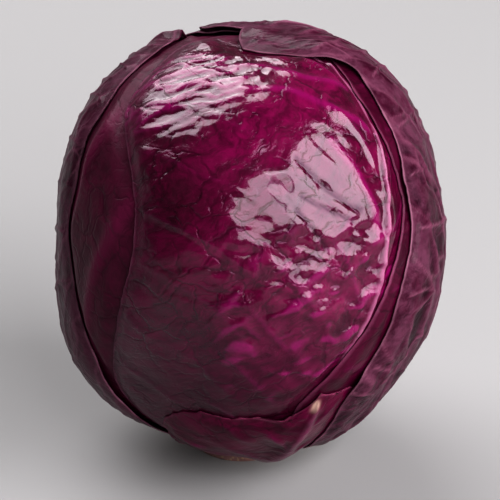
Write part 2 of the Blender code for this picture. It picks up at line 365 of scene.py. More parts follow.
# Lengths in metres over which the skin's patterns change. Of the veins: a cell's size, a line's width.
STIR_SIZE = 0.018
STIR_PUSH = 0.016
BLOTCH_SIZE = 0.040
STREAK_SIZE = 0.0050
SPECKLE_SIZE = 0.0035
PATCH_SIZE = 0.026
VEINED_SIZE = 0.034
LARGE_VEINS = (0.0115, 0.0010)
SMALL_VEINS = (0.0042, 0.0007)
FILM_SIZE = 0.012
LEATHER_SIZE = 0.0058
# How many times longer than wide some of them are drawn out.
STREAK_STRETCH = 3.5
VEIN_STRETCH = 1.8
FILM_STRETCH = 2.2
# Heights in millimetres of the skin's own relief.
LEATHER_MM = 0.38
STREAK_MM = 0.05
SPECKLE_MM = 0.03


def leaf_paint(name, colours, bloom, rough, gloss, coat, net_mm, streak_deg):
    """Cabbage leaf: streaked purple, a fine net of veins, a dusty bloom, brighter ribs and pale rims.
    bloom: how much of the dusty film is on it. gloss: how strongly the skin itself shines, pinkish.
    net_mm: how deep the net of veins is pressed in, below 0 if it is raised. streak_deg: which way
    streaks run, from east."""
    fixed = {"Coat Roughness": 0.06, "Coat IOR": 1.42}
    fixed.update({"Specular IOR Level": gloss, "Specular Tint": (1.0, 0.58, 0.90, 1)})
    p = Paint(name, fixed)
    place = p.attribute("chart", "Vector")
    stir = p.cloud(place, STIR_SIZE, 3.0, 0.6, "Color")
    bent = p.shift(place, stir, STIR_PUSH)
    blotch = p.spread(p.cloud(bent, BLOTCH_SIZE, 6.0, 0.62), 0.38, 0.64)
    drawn = p.along(bent, streak_deg, STREAK_STRETCH)
    streak = p.spread(p.cloud(drawn, STREAK_SIZE, 5.0, 0.68), 0.34, 0.66)
    speckle = p.cloud(place, SPECKLE_SIZE, 5.0, 0.7)
    patch = p.spread(p.cloud(place, PATCH_SIZE), 0.42, 0.62)
    veined = p.spread(p.cloud(bent, VEINED_SIZE), 0.36, 0.54)
    large = p.veins(bent, *LARGE_VEINS) * veined
    small = p.veins(p.along(bent, streak_deg, VEIN_STRETCH), *SMALL_VEINS) * patch
    spine, rib, rim, pale, glow, shade, dull = (p.attribute(key) for key in LEAF_VALUES)
    net = p.spread(large * 0.8 + small * 0.5, 0.0, 1.0)

    colour = p.mix(colours["deep"], colours["bright"], blotch * 0.35 + streak * 0.55 + speckle * 0.1)
    # Brighter purple; on the front leaf's glow spots this is painted light where the lamps fall.
    colour = p.mix(colour, colours["glow"], glow * (0.25 + 0.75 * streak))
    # Pressed-in nets are darkened in their grooves, painted shade; raised nets are paler, the veins' own
    # colour.
    colour = p.mix(colour, colours["net"], net * 0.45)
    # Painted shade: the colour is darkened wherever the form puts shade.
    colour = p.mix(colour, colours["shade"], shade)
    drawn = p.along(bent, streak_deg, FILM_STRETCH)
    film = p.cloud(drawn, FILM_SIZE, 7.0, 0.70) + speckle * 0.4
    film = p.spread(film, 0.60, 0.86) * bloom
    colour = p.mix(colour, colours["bloom"], film * (1 - net * 0.5))
    # Paler ribs; the front leaf's crown crests and lower flecks and the stub's streaks put painted
    # highlights in here too.
    colour = p.mix(colour, colours["rib"], p.spread(rib * (0.6 + 0.8 * speckle), 0.15, 1.0) * 0.8)
    colour = p.mix(colour, colours["spine"], p.spread(spine * (0.7 + 0.6 * speckle), 0.25, 0.95) * 0.85)
    colour = p.mix(colour, colours["flesh"], pale)
    colour = p.mix(colour, colours["rim"], rim * (0.45 + 0.55 * patch))
    p.feed(p.shader.inputs["Base Color"], colour)
    dry = 0.25 * film + 0.15 * pale + 0.10 * shade + 0.25 * rim + 0.25 * dull
    p.feed(p.shader.inputs["Roughness"], rough + dry + 0.14 * (speckle - 0.5))
    p.feed(p.shader.inputs["Coat Weight"], coat * (1 - 0.8 * film) * (1 - shade) * (1 - rim) * (1 - dull))
    leather = p.cloud(bent, LEATHER_SIZE, 3.0, 0.5)
    relief = leather * LEATHER_MM + streak * STREAK_MM + speckle * SPECKLE_MM
    p.bump(relief - large * net_mm - small * (0.5 * net_mm))
    return p.material


def new_piece(name, bm, paint, values, chart):
    """A finished piece in the root body: its mesh, material, and the values that the paint reads."""
    mesh = bpy.data.meshes.new(name)
    bm.to_mesh(mesh)
    bm.free()
    for key in LEAF_VALUES:
        value = np.clip(values.get(key, 0.0), 0.0, 1.0) + np.zeros(len(mesh.vertices))
        layer = mesh.attributes.new(key, "FLOAT", "POINT")
        layer.data.foreach_set("value", value.astype(np.float32))
    layer = mesh.attributes.new("chart", "FLOAT_VECTOR", "POINT")
    layer.data.foreach_set("vector", chart.astype(np.float32).ravel())
    mesh.materials.append(paint)
    mesh.shade_smooth()
    piece = bpy.data.objects.new(name, mesh)
    bpy.context.scene.collection.objects.link(piece)
    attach(piece, "root")
    return piece


HEART_COLOURS = {
    "deep": (0.022, 0.0003, 0.006, 1),
    "bright": (0.078, 0.0010, 0.022, 1),
    "glow": (0.130, 0.0010, 0.040, 1),
    # Dark, painted shade in the pressed-in veins.
    "net": (0.010, 0.0003, 0.003, 1),
    # Painted shade.
    "shade": (0.010, 0.0003, 0.003, 1),
    "bloom": (0.070, 0.014, 0.030, 1),
    "rib": (0.110, 0.004, 0.036, 1),
    "spine": (0.300, 0.110, 0.180, 1),
    "flesh": (0.620, 0.480, 0.430, 1),
    "rim": (0.110, 0.020, 0.048, 1),
}

bm = bmesh.new()
bmesh.ops.create_uvsphere(bm, u_segments=HEART_SEGMENTS, v_segments=HEART_RINGS, radius=1.0)
d = np.array([v.co.normalized()[:] for v in bm.verts])
x, y = to_chart(HEART_LEAF, d)
north = y - HEART_BASE_DEG
fan = np.degrees(np.arctan2(x, north)) / HEART_RIB_SPACING_DEG
crest = bump_at(fan - np.round(fan), HEART_RIB_WIDTH)
span = HEART_RIB_FULL_DEG - HEART_RIB_START_DEG
away = smooth_step((np.hypot(x, north) - HEART_RIB_START_DEG) / span)
on_leaf = cover(HEART_LEAF, d, 0.0, HEART_STEP_FALL_DEG)
free = free_of(LEAVES, d, LIFT_PAD_DEG, LIFT_FALL_DEG)
radius = head_radius(d)
buckle = grain(d * HEAD_HALF_WIDTH, HEART_BUCKLE_SIZE, 3)
relief = HEART_STEP + HEART_RIB_HEIGHT * crest * away + HEART_BUCKLE * (buckle + 1)
radius += on_leaf * relief * free
flat_radius = np.hypot(d[:, 0], d[:, 1])
in_pocket = (flat_radius * radius < STEM_POCKET_RADIUS) & (d[:, 2] < 0)
pocket_depth = (HEAD_CENTRE_Z - STEM_POCKET_TOP) / np.maximum(-d[:, 2], 0.1)
radius = np.where(in_pocket, pocket_depth, radius)
for vert, point in zip(bm.verts, at_radius(d, radius)):
    vert.co = point
by_stem = smooth_step((HEART_PALE_RADIUS - flat_radius * radius) / HEART_PALE_FALL)
values = {
    "rib": crest * away * on_leaf,
    "rim": bump_at(on_leaf - 0.6, 0.35) * 0.8,
    "pale": by_stem * (d[:, 2] < 0),
}
paint = leaf_paint(
    "inner leaf", HEART_COLOURS, bloom=0.15, rough=0.40, gloss=0.08, coat=0.06, net_mm=0.12, streak_deg=80
)
inner_head = new_piece("folded_heart", bm, paint, values, d * HEAD_HALF_WIDTH)
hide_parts("inner_head")


# Stem: the stalk, cut straight across with a knife. Moist cream flesh inside a thin purple skin.
# A ring turned up in steps, its cut face flat on the ground, its side scarred where leaves came off.

STEM_HEIGHT = 0.0160
STEM_SIDES = 128
# Radius and height of each ring up the stem's side, and the rings on its cut face as shares of the first.
STEM_PROFILE = (
    (0.0184, 0.0),
    (0.0188, 0.0003),
    (0.0190, 0.0010),
    (0.0189, 0.0030),
    (0.0187, 0.0055),
    (0.0186, 0.0080),
    (0.0183, 0.0110),
    (0.0179, 0.0140),
    (0.0178, STEM_HEIGHT),
)
FACE_RINGS = (0.35, 0.62, 0.80, 0.93, 1.0)
SCAR_DEPTH = 0.0005
SCAR_COUNT = 5
SCAR_SLANT = 700
PITH_EDGE = (0.0060, 0.0105)
VESSELS_START = (0.0128, 0.0140)
VESSELS_END = (0.0146, 0.0158)
SKIN_EDGE = (0.0170, 0.0185)
FLESH = (0.72, 0.62, 0.36, 1)
PITH = (0.82, 0.76, 0.52, 1)
VESSELS = (0.56, 0.52, 0.22, 1)
STEM_SKIN = (0.16, 0.05, 0.07, 1)
FIBRE = (0.60, 0.46, 0.24, 1)
BROWNED = (0.40, 0.22, 0.09, 1)


def next_ring(bm):
    """The new verts, still in place, of a ring grown from the mesh's open edge."""
    edges = [e for e in bm.edges if e.is_boundary]
    ring = bmesh.ops.extrude_edge_only(bm, edges=edges)["geom"]
    return [v for v in ring if isinstance(v, bmesh.types.BMVert)]


bm = bmesh.new()
face_radius = STEM_PROFILE[0][0]
bmesh.ops.create_circle(bm, cap_ends=True, segments=STEM_SIDES, radius=face_radius * FACE_RINGS[0])
for share in FACE_RINGS[1:]:
    for vert in next_ring(bm):
        vert.co.xy *= share * face_radius / vert.co.xy.length
for radius, height in STEM_PROFILE[1:]:
    for vert in next_ring(bm):
        turn = math.atan2(vert.co.y, vert.co.x)
        scar = math.sin(SCAR_COUNT * turn + SCAR_SLANT * height) ** 6
        vert.co.xy *= (radius - SCAR_DEPTH * scar) / vert.co.xy.length
        vert.co.z = height
bmesh.ops.contextual_create(bm, geom=[e for e in bm.edges if e.is_boundary])
bmesh.ops.recalc_face_normals(bm, faces=bm.faces[:])

p = Paint("stem flesh", {"Specular IOR Level": 0.5, "Coat Roughness": 0.25})
place = p.node("ShaderNodeTexCoord", {}, {}, "Object")
flat = p.node("ShaderNodeVectorMath", {"operation": "MULTIPLY"}, {0: place, 1: (1, 1, 0)})
out = p.node("ShaderNodeVectorMath", {"operation": "LENGTH"}, {0: flat}, "Value")
stir = p.cloud(place, 0.006, 3.0)
out = out + (stir - 0.5) * 0.0016
pith = 1 - p.spread(out, *PITH_EDGE)
ring = p.spread(out, *VESSELS_START) * (1 - p.spread(out, *VESSELS_END))
skin = p.spread(out, *SKIN_EDGE)
fibre = p.specks(place, 0.0016, 0.40)
colour = p.mix(FLESH, PITH, pith)
colour = p.mix(colour, VESSELS, ring * 0.75)
colour = p.mix(colour, STEM_SKIN, skin * 0.9)
colour = p.mix(colour, FIBRE, fibre * 0.35 * (1 - pith))
browned = p.spread(p.cloud(place, 0.011, 4.0), 0.52, 0.74)
colour = p.mix(colour, BROWNED, browned * 0.35)
p.feed(p.shader.inputs["Base Color"], colour)
p.feed(p.shader.inputs["Roughness"], 0.42 + 0.2 * browned)
p.feed(p.shader.inputs["Coat Weight"], 0.25 * pith)
p.bump(stir * 0.25 + fibre * 0.12 - ring * 0.15)
no_chart = np.zeros((len(bm.verts), 3))
stem = new_piece("trimmed_stem", bm, p.material, {}, no_chart)
stem.data.set_sharp_from_angle(angle=math.radians(40))
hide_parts("stem")


# Front leaf: the large glossy wrapper that fills the view, with its raised midrib at its right. Thin
# waxy leaf. A grid fanned out from its midrib along the side ribs and laid on what is under it; its
# ribs, buckles and wrinkles are raised on it.

LEAF_THICKNESS = 0.0013
LEAF_GAP = 0.0002
MARGIN_THICKNESS = 0.0004
MARGIN_TAPER_DEG = 5.0
MARGIN_BUCKLE = 0.05
SETTLED_DEG = 10.0
LIFT_WIDTH_DEG = 13.0
LIFT_UNEVENNESS = 0.35
LIFT_WAVES = 9
CURL_WAVES = 31
CURL_SHARE = 0.12
TIP_HALF_WIDTH = 0.25
TIP_LENGTH = 0.15
FIRST_ROW_SHARE = 0.075
LAST_ROW_SHARE = 0.935
ROW_RISE = 0.78
ROW_BEND_ACROSS = 0.24
ROW_BEND_ALONG = 0.62
TIP_DEG_PER_SHARE = 180.0
RAGGED_SIZE = 0.10
FINE_RAGGED_SIZE = 0.035
RIM_WIDTH_DEG = 0.45
LEFT_RIB_STAGGER = 1 / 3
RIB_RISE = 0.16
ROW_WAVER = 0.10
ROW_WAVER_SIZE = 0.022
RIB_GAP_SIZE = 0.026
FORK_SHARE = 0.7
SPINE_CLEAR = 0.12
CHART_STEP_DEG = 20.0


def pulled_curve(handles, t):
    """Points at t, from 0 to 1, on the curve from the first handle to the last, pulled by the others."""
    p0, p1, p2, p3 = (np.array(handle, float) for handle in handles)
    t = t[:, None]
    u = 1 - t
    return u**3 * p0 + 3 * u * u * t * p1 + 3 * u * t * t * p2 + t**3 * p3


class Lay:
    """Where a leaf's points lie. s: -1 to 1 across, t: 0 to 1 along; x, y: chart degrees; d:
    directions; across: metres from the midrib; inside: degrees in from the margin; leaf: its outline."""

    def __init__(self, leaf, s, t, ragged):
        self.leaf, self.s, self.t = leaf, s, t
        midrib = pulled_curve(leaf["midrib"], t)
        self.x, self.y = self.fan(leaf, midrib, ragged)
        self.d = from_chart(leaf, self.x, self.y)
        near = from_chart(leaf, midrib[:, 0], midrib[:, 1])
        turn = np.arccos(np.clip((self.d * near).sum(1), -1.0, 1.0))
        self.across = HEAD_HALF_WIDTH * turn
        self.bearing = np.degrees(np.arctan2(self.x, self.y))
        side = reach(leaf, self.bearing) - np.hypot(self.x, self.y)
        self.inside = np.minimum(side, TIP_DEG_PER_SHARE * np.minimum(t, 1 - t))

    def fan(self, leaf, midrib, ragged):
        """Chart places: rows leave the midrib steeply and bend out to the margin."""
        base, tip = (math.degrees(math.atan2(*leaf["midrib"][k])) for k in (0, 3))
        base %= 360.0
        share = FIRST_ROW_SHARE + (LAST_ROW_SHARE - FIRST_ROW_SHARE) * self.t**ROW_RISE
        right = base + (tip - base) * share
        left = base + (tip + 360.0 - base) * share
        bearing = np.where(self.s >= 0, right, left)
        turn = np.radians(bearing)
        ring = np.stack([np.sin(turn), np.cos(turn), np.zeros_like(turn)], axis=1)
        stray = grain(ring, RAGGED_SIZE, 5) + 0.6 * grain(ring, FINE_RAGGED_SIZE, 6)
        edge = (reach(leaf, bearing) + ragged * stray)[:, None] * ring[:, :2]
        bend = midrib + (edge - midrib) * np.array([ROW_BEND_ACROSS, ROW_BEND_ALONG])
        u = np.abs(self.s)[:, None]
        place = (1 - u) ** 2 * midrib + 2 * u * (1 - u) * bend + u**2 * edge
        return place[:, 0], place[:, 1]


def rib_relief(lay, count, midrib, side):
    """Height of the ribs, and how strongly each point is midrib and side rib. midrib: height and half
    width at its base, then at its tip. side: height of the side ribs, and their half width in rows."""
    base_height, base_width, tip_height, tip_width = midrib
    fade = smooth_step(lay.t / 0.10) * smooth_step((1 - lay.t) / 0.10)
    width = base_width + (tip_width - base_width) * lay.t
    height = base_height + (tip_height - base_height) * lay.t
    spine = bump_at(lay.across, width)
    row = count * (lay.t - RIB_RISE * np.abs(lay.s)) - np.where(lay.s < 0, LEFT_RIB_STAGGER, 0.0)
    row = row + ROW_WAVER * grain(lay.d * HEAD_HALF_WIDTH, ROW_WAVER_SIZE, 11)
    crest = bump_at(row - np.round(row), side[1]) * (1 - smooth_step((np.abs(lay.s) - 0.35) / 0.6))
    fork = FORK_SHARE * bump_at(row - np.floor(row) - 0.5, FORK_SHARE * side[1])
    crest = np.maximum(crest, fork * smooth_step((np.abs(lay.s) - 0.35) / 0.3) * (lay.inside > 3))
    crest *= smooth_step(np.abs(lay.s) / SPINE_CLEAR)
    crest *= smooth_step(0.75 + 0.9 * grain(lay.d * HEAD_HALF_WIDTH, RIB_GAP_SIZE, 12))
    relief = fade * np.maximum(height * spine, side[0] * crest)
    return relief, fade * spine, fade * crest


def swells(lay, sizes, seed):
    """Soft buckles, 0 at their lowest. Each of sizes is a height and a length in metres."""
    skin = lay.d * HEAD_HALF_WIDTH
    return sum(height * (1 + grain(skin, size, seed + k)) for k, (height, size) in enumerate(sizes))


def bare_base(lay, end=0.07, fall=0.06):
    """How pale the blade is by its base, where it bent out from the stem."""
    return 0.9 * smooth_step((end - lay.t) / fall)


def make_leaf(name, columns, rows, ragged, lift, form, paint, middle=0.0):
    """A wrapper leaf. ragged: degrees that its margin strays. lift: metres that its margin stands off.
    form(lay) gives the ribs' height, the blade's buckles, and the values that the paint reads; the
    buckles move both faces, the ribs stand on the outer one. middle: where the midrib's column lies in
    the grid, off centre to give the leaf's wide side more columns."""
    leaf = LEAVES[name]
    order = list(LEAVES)
    index = order.index(name)
    bm = bmesh.new()
    bmesh.ops.create_grid(bm, x_segments=columns, y_segments=rows, size=1.0)
    grown = bmesh.ops.extrude_face_region(bm, geom=bm.faces[:])["geom"]
    outer = {v for v in grown if isinstance(v, bmesh.types.BMVert)}
    flat = np.array([v.co[:] for v in bm.verts])
    is_outer = np.array([v in outer for v in bm.verts], float)

    s = np.where(flat[:, 0] < middle, 1 + middle, 1 - middle)
    lay = Lay(leaf, (flat[:, 0] - middle) / s, (flat[:, 1] + 1) / 2, ragged)
    free = free_of(order[index + 1 :], lay.d)
    loose = free_of(order[index + 1 :], lay.d, LIFT_PAD_DEG, LIFT_FALL_DEG)
    under = head_radius(lay.d)
    for below in order[:index]:
        under = under + (LEAF_THICKNESS + LEAF_GAP) * cover(LEAVES[below], lay.d)
    ribs, buckles, values = form(lay)
    taper = smooth_step(lay.inside / MARGIN_TAPER_DEG)
    thick = MARGIN_THICKNESS + (LEAF_THICKNESS - MARGIN_THICKNESS) * taper
    turn = np.radians(lay.bearing)
    margin = 1 - smooth_step(lay.inside / LIFT_WIDTH_DEG)
    stand = lift * loose * margin * smooth_step(4 * lay.t)
    stand *= 1 - LIFT_UNEVENNESS + LIFT_UNEVENNESS * np.sin(LIFT_WAVES * turn + index)
    curl = 1 + np.sin(CURL_WAVES * turn + 3 * np.sin(5 * turn))
    stand += CURL_SHARE * lift * loose * margin**3 * curl
    tip = bump_at(lay.s, TIP_HALF_WIDTH) * smooth_step((lay.t - 1) / TIP_LENGTH + 1)
    stand += leaf.get("tip_lift", 0.0) * tip * loose
    settled = MARGIN_BUCKLE + (1 - MARGIN_BUCKLE) * smooth_step(lay.inside / SETTLED_DEG)
    radius = under + LEAF_GAP + stand + buckles * loose * settled
    radius = radius + is_outer * (thick + ribs * free * taper)
    for vert, point in zip(bm.verts, at_radius(lay.d, radius)):
        vert.co = point
    bmesh.ops.recalc_face_normals(bm, faces=bm.faces[:])
    values["rim"] = bump_at(lay.inside, RIM_WIDTH_DEG)
    # Each leaf has its own layer of the chart, so that no two show the same pattern.
    layer = np.full(len(lay.x), CHART_STEP_DEG * index)
    chart = np.stack([lay.x, lay.y, layer], axis=1) * math.radians(1)
    return new_piece("fine_" + name, bm, paint, values, chart * HEAD_HALF_WIDTH)


FRONT_COLOURS = {
    "deep": (0.016, 0.0001, 0.0036, 1),
    "bright": (0.076, 0.0004, 0.0200, 1),
    "glow": (0.150, 0.0006, 0.0460, 1),
    # Dark, painted shade in the pressed-in veins.
    "net": (0.010, 0.0001, 0.0030, 1),
    # Painted shade.
    "shade": (0.010, 0.0001, 0.0030, 1),
    "bloom": (0.100, 0.018, 0.045, 1),
    "rib": (0.190, 0.002, 0.078, 1),
    "spine": (0.290, 0.085, 0.170, 1),
    "flesh": (0.700, 0.540, 0.460, 1),
    "rim": (0.200, 0.045, 0.100, 1),
}
# Midribs: height and half width in metres at the base, then at the tip. Side ribs: height, and half
# width in rows. Patches and spots: middle and half widths east and north, in degrees of the chart.
FRONT_RIBS = 10
FRONT_MIDRIB = (0.0026, 0.0034, 0.0012, 0.0013)
FRONT_SIDE = (0.0005, 0.09)
FRONT_MIDDLE = 0.40
CROWN_WRINKLES = (-32.0, 74.0, 30.0, 19.0)
SIDE_VEINS = (
    ((-14, 76), (-2, 68), (4, 58), (15, 50)),
    ((-17, 62), (-5, 56), (0, 49), (11, 37)),
    ((-4, 38), (0, 28), (2, 18), (1, 8)),
)
FLAT_PANE = (-11.0, 26.0, 11.0, 17.0)
PANE_FURROWS = (
    ((-17, 37), (-14, 31), (-11, 26), (-7, 21), (-3, 18)),
    ((-23, 24), (-20, 18), (-17, 11)),
    ((-20, 27), (-13, 21), (-7, 16)),
)
PANE_KNOLLS = ((-19, 35, 4.5, 6.5), (-26, 20, 5.0, 3.5), (-8, 8, 6.0, 4.0))
KNOLL_HEIGHT = 0.0009
PANE_DIPS = ((-20, 41, 6.0, 4.5), (-13, 27, 2.5, 2.0), (-2, 12, 5.0, 3.5))
DIP_DEPTH = 0.0008
LOWER_FOLDS = (-14.0, -10.0, 40.0, 28.0)
# Spots of brighter purple, painted light on the lit parts of the leaf: middle east and north, and size, in
# degrees.
GLOW_PLACES = ((8, 60, 14), (-6, 50, 12), (-30, 44, 12), (-45, 18, 9), (-14, 0, 9), (12, 30, 8))
# Painted shade on the front leaf, from the first chart latitude down to the second, and in from its
# margin.
LOW_SHADE = (6.0, -42.0)
BORDER_DEG = 16.0
SWELL_BUCKLE = 0.0009
SWELL_SIZE = 0.020
LUMP_BUCKLE = 0.00044
LUMP_SIZE = 0.0085
FINE_LUMP_BUCKLE = 0.00027
FINE_LUMP_SIZE = 0.0048
RIPPLE_HEIGHT = 0.0009
RIPPLE_SIZE = 0.0040
FINE_RIPPLE_HEIGHT = 0.0004
FINE_RIPPLE_SIZE = 0.0028
FURROW_HEIGHT = 0.0006
FURROW_SIZE = 0.0055
FLECK_HEIGHT = 0.0007
FLECK_SIZE = 0.0040
VEIN_HEIGHT = 0.0005
VEIN_WIDTH_DEG = 1.7
CUT_DEPTH = 0.0005
CUT_WIDTH_DEG = 0.7


def spot(lay, x, y, across, along):
    """1 in the middle of an oval patch of the leaf's chart, falling to 0 outside it."""
    return np.exp(-(((lay.x - x) / across) ** 2) - ((lay.y - y) / along) ** 2)


def off_line(lay, points):
    """Degrees from a line of straight stretches in the leaf's chart."""
    nearest = np.full(len(lay.x), 1e9)
    for (x0, y0), (x1, y1) in zip(points[:-1], points[1:]):
        run = (x1 - x0) ** 2 + (y1 - y0) ** 2
        share = np.clip(((lay.x - x0) * (x1 - x0) + (lay.y - y0) * (y1 - y0)) / run, 0.0, 1.0)
        gap = np.hypot(lay.x - x0 - share * (x1 - x0), lay.y - y0 - share * (y1 - y0))
        nearest = np.minimum(nearest, gap)
    return nearest


def stretched(lay, turn_deg, longer):
    """Places in metres on the leaf's chart, along a grain turned turn_deg from east and so many times
    longer than wide."""
    turn = math.radians(turn_deg)
    along = lay.x * math.cos(turn) + lay.y * math.sin(turn)
    up = lay.y * math.cos(turn) - lay.x * math.sin(turn)
    flat = np.stack([along / longer, up, 0 * up], axis=1)
    return flat * math.radians(1) * HEAD_HALF_WIDTH


def front_form(lay):
    """Wrinkles on the crown, a flatter pane with cuts across it, side veins, and folds lower down."""
    ribs, spine, crest = rib_relief(lay, FRONT_RIBS, FRONT_MIDRIB, FRONT_SIDE)
    skin = lay.d * HEAD_HALF_WIDTH
    pane = spot(lay, *FLAT_PANE)
    crown = smooth_step(1.6 * spot(lay, *CROWN_WRINKLES))
    folds = smooth_step(1.5 * spot(lay, *LOWER_FOLDS))
    top, bottom = LOW_SHADE
    low = smooth_step((top - lay.y) / (top - bottom))
    stir = 0.10 * skin + 0.0012 * grain(skin, 0.010, 20)[:, None]
    ripple = 1 - np.abs(grain(stretched(lay, -10, 5.0) + stir, RIPPLE_SIZE, 21))
    fine_ripple = 1 - np.abs(grain(stretched(lay, -14, 4.0) + stir, FINE_RIPPLE_SIZE, 25))
    furrow = 1 - np.abs(grain(stretched(lay, -28, 4.0) + stir, FURROW_SIZE, 22))
    fleck = smooth_step(1.4 * grain(stretched(lay, 12, 3.0) + 2.0 * stir, FLECK_SIZE, 27) + 0.05)
    swell = 1 + grain(skin, SWELL_SIZE, 23)
    lump = 1 + grain(stretched(lay, -35, 1.6) + 0.3 * skin, LUMP_SIZE, 24)
    fine_lump = 1 + grain(stretched(lay, -30, 1.8) + stir, FINE_LUMP_SIZE, 26)
    calm = (1 - 0.68 * pane) * (1 - 0.6 * crown)
    rough = calm * (1 + 1.1 * folds)
    buckles = SWELL_BUCKLE * swell + (LUMP_BUCKLE * lump + FINE_LUMP_BUCKLE * fine_lump) * rough
    buckles += crown * (RIPPLE_HEIGHT * ripple**2 + FINE_RIPPLE_HEIGHT * fine_ripple**2)
    buckles += folds * (FURROW_HEIGHT * furrow**3 + FLECK_HEIGHT * fleck)
    buckles += KNOLL_HEIGHT * sum(spot(lay, *knoll) for knoll in PANE_KNOLLS)
    buckles -= DIP_DEPTH * sum(spot(lay, *dip) for dip in PANE_DIPS)
    vein = sum(bump_at(off_line(lay, line), VEIN_WIDTH_DEG) for line in SIDE_VEINS)
    cut = sum(bump_at(off_line(lay, line), CUT_WIDTH_DEG) for line in PANE_FURROWS)
    buckles = np.maximum(buckles + VEIN_HEIGHT * vein - CUT_DEPTH * cut, 0.0) * (1 - 0.6 * low)
    glow = sum(spot(lay, x, y, 1.5 * size, size) for x, y, size in GLOW_PLACES)
    border = smooth_step(1 - lay.inside / BORDER_DEG)
    values = {
        "spine": spine,
        # Painted highlights: the crown ripples' crests and the lower flecks are paler pink, as glints.
        "rib": np.maximum.reduce([0.5 * crest, 0.8 * vein, (crown * ripple) ** 3, 0.95 * folds * fleck]),
        "pale": bare_base(lay),
        # On GLOW_PLACES the glow is painted light where the lamps fall.
        "glow": 0.7 * glow + 0.4 * vein + 0.5 * folds + 0.5 * border,
        # Painted shade: darker in the cuts, in the hollows between the lower folds, towards the bottom and
        # along the margin.
        "shade": 0.8 * cut + 0.6 * folds * (1 - furrow) + 0.25 * low + 0.2 * border,
        "dull": np.maximum.reduce([0.8 * low - 0.5 * folds * fleck, border, 0.6 * spine]),
    }
    return ribs, buckles, values


paint = leaf_paint(
    "front leaf", FRONT_COLOURS, bloom=0.10, rough=0.15, gloss=0.24, coat=0.72, net_mm=0.18, streak_deg=25
)
front_leaf = make_leaf(
    "leaf_front",
    columns=215,
    rows=210,
    ragged=0.4,
    lift=0.0002,
    form=front_form,
    paint=paint,
    middle=FRONT_MIDDLE,
)
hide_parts("leaf_front")


# Inner right leaf: shows as a smooth deep-magenta strip beside the front leaf, its margin standing
# off in a shadow gap. Thin waxy leaf, made as the front leaf is.

STRIP_COLOURS = dict(FRONT_COLOURS, deep=(0.022, 0.0003, 0.006, 1), bright=(0.062, 0.0006, 0.018, 1))
STRIP_RIBS = 9
STRIP_MIDRIB = (0.0026, 0.0040, 0.0008, 0.0015)
STRIP_SIDE = (0.0008, 0.10)
STRIP_SWELLS = ((0.0004, 0.018), (0.00012, 0.007))


def strip_form(lay):
    """Nearly smooth, with a few soft buckles between its ribs."""
    ribs, spine, crest = rib_relief(lay, STRIP_RIBS, STRIP_MIDRIB, STRIP_SIDE)
    values = {"spine": spine, "rib": 0.6 * crest, "pale": bare_base(lay)}
    return ribs, swells(lay, STRIP_SWELLS, 31), values


paint = leaf_paint(
    "inner right leaf",
    STRIP_COLOURS,
    bloom=0.06,
    rough=0.30,
    gloss=0.10,
    coat=0.12,
    net_mm=0.08,
    streak_deg=85,
)
strip_leaf = make_leaf(
    "leaf_right_inner", columns=140, rows=150, ragged=0.5, lift=0.0006, form=strip_form, paint=paint
)
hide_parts("leaf_right_inner")


# Left and back leaves: two duller wrappers round the far sides, their margins rising behind the
# crown. Dusty leaf with a bloom, paler along its ribs. Made as the front leaf is, ribs standing higher.

OUTER_COLOURS = {
    "deep": (0.014, 0.0005, 0.005, 1),
    "bright": (0.056, 0.004, 0.020, 1),
    "glow": (0.090, 0.003, 0.030, 1),
    "net": (0.100, 0.022, 0.050, 1),
    # Painted shade, in the hollows of the pleats.
    "shade": (0.008, 0.0005, 0.003, 1),
    "bloom": (0.112, 0.032, 0.062, 1),
    "rib": (0.190, 0.060, 0.105, 1),
    "spine": (0.220, 0.085, 0.135, 1),
    "flesh": (0.640, 0.500, 0.430, 1),
    "rim": (0.260, 0.110, 0.165, 1),
}
OUTER_RIBS = 9
OUTER_MIDRIB = (0.0030, 0.0046, 0.0010, 0.0015)
OUTER_SIDE = (0.0010, 0.055)
OUTER_SWELLS = ((0.0005, 0.018), (0.00022, 0.008))
OUTER_VEIN_HEIGHT = 0.0004
LONG_VEIN_WIDTH_DEG = 0.9
WEB_WIDTH_DEG = 0.7
PLEAT_RAISE = 0.0006
PLEAT_DEPTH = 0.0008
PLEAT_START_DEG = 0.6
PLEAT_FALL_DEG = 1.6
NET_CELLS = 64
FAN_BASE_DEG = -96.0
LONG_CELL_DEG = (8.0, 36.0)
WEB_CELL_DEG = (12.0, 13.0)
VEIN_WAVER_DEG = 3.4


def off_walls(place, size, seed):
    """Degrees from the walls of a net of random cells, of this size in degrees across and along."""
    spots = 0.15 + 0.7 * np.random.default_rng(seed).random((NET_CELLS, NET_CELLS, 2))
    cell = np.floor(place / size).astype(int)
    ways = []
    for step in np.ndindex(3, 3):
        at = cell + step - 1
        ways.append(at + spots[at[:, 0] % NET_CELLS, at[:, 1] % NET_CELLS] - place / size)
    ways = np.array(ways)
    away = (ways**2).sum(2)
    first = away.argmin(0), np.arange(len(place))
    slope = np.hypot(*np.moveaxis((ways - ways[first]) / size, 2, 0))
    off = (away - away[first]) / 2 / np.maximum(slope, 1e-9)
    off[first] = 1e9
    return off.min(0)


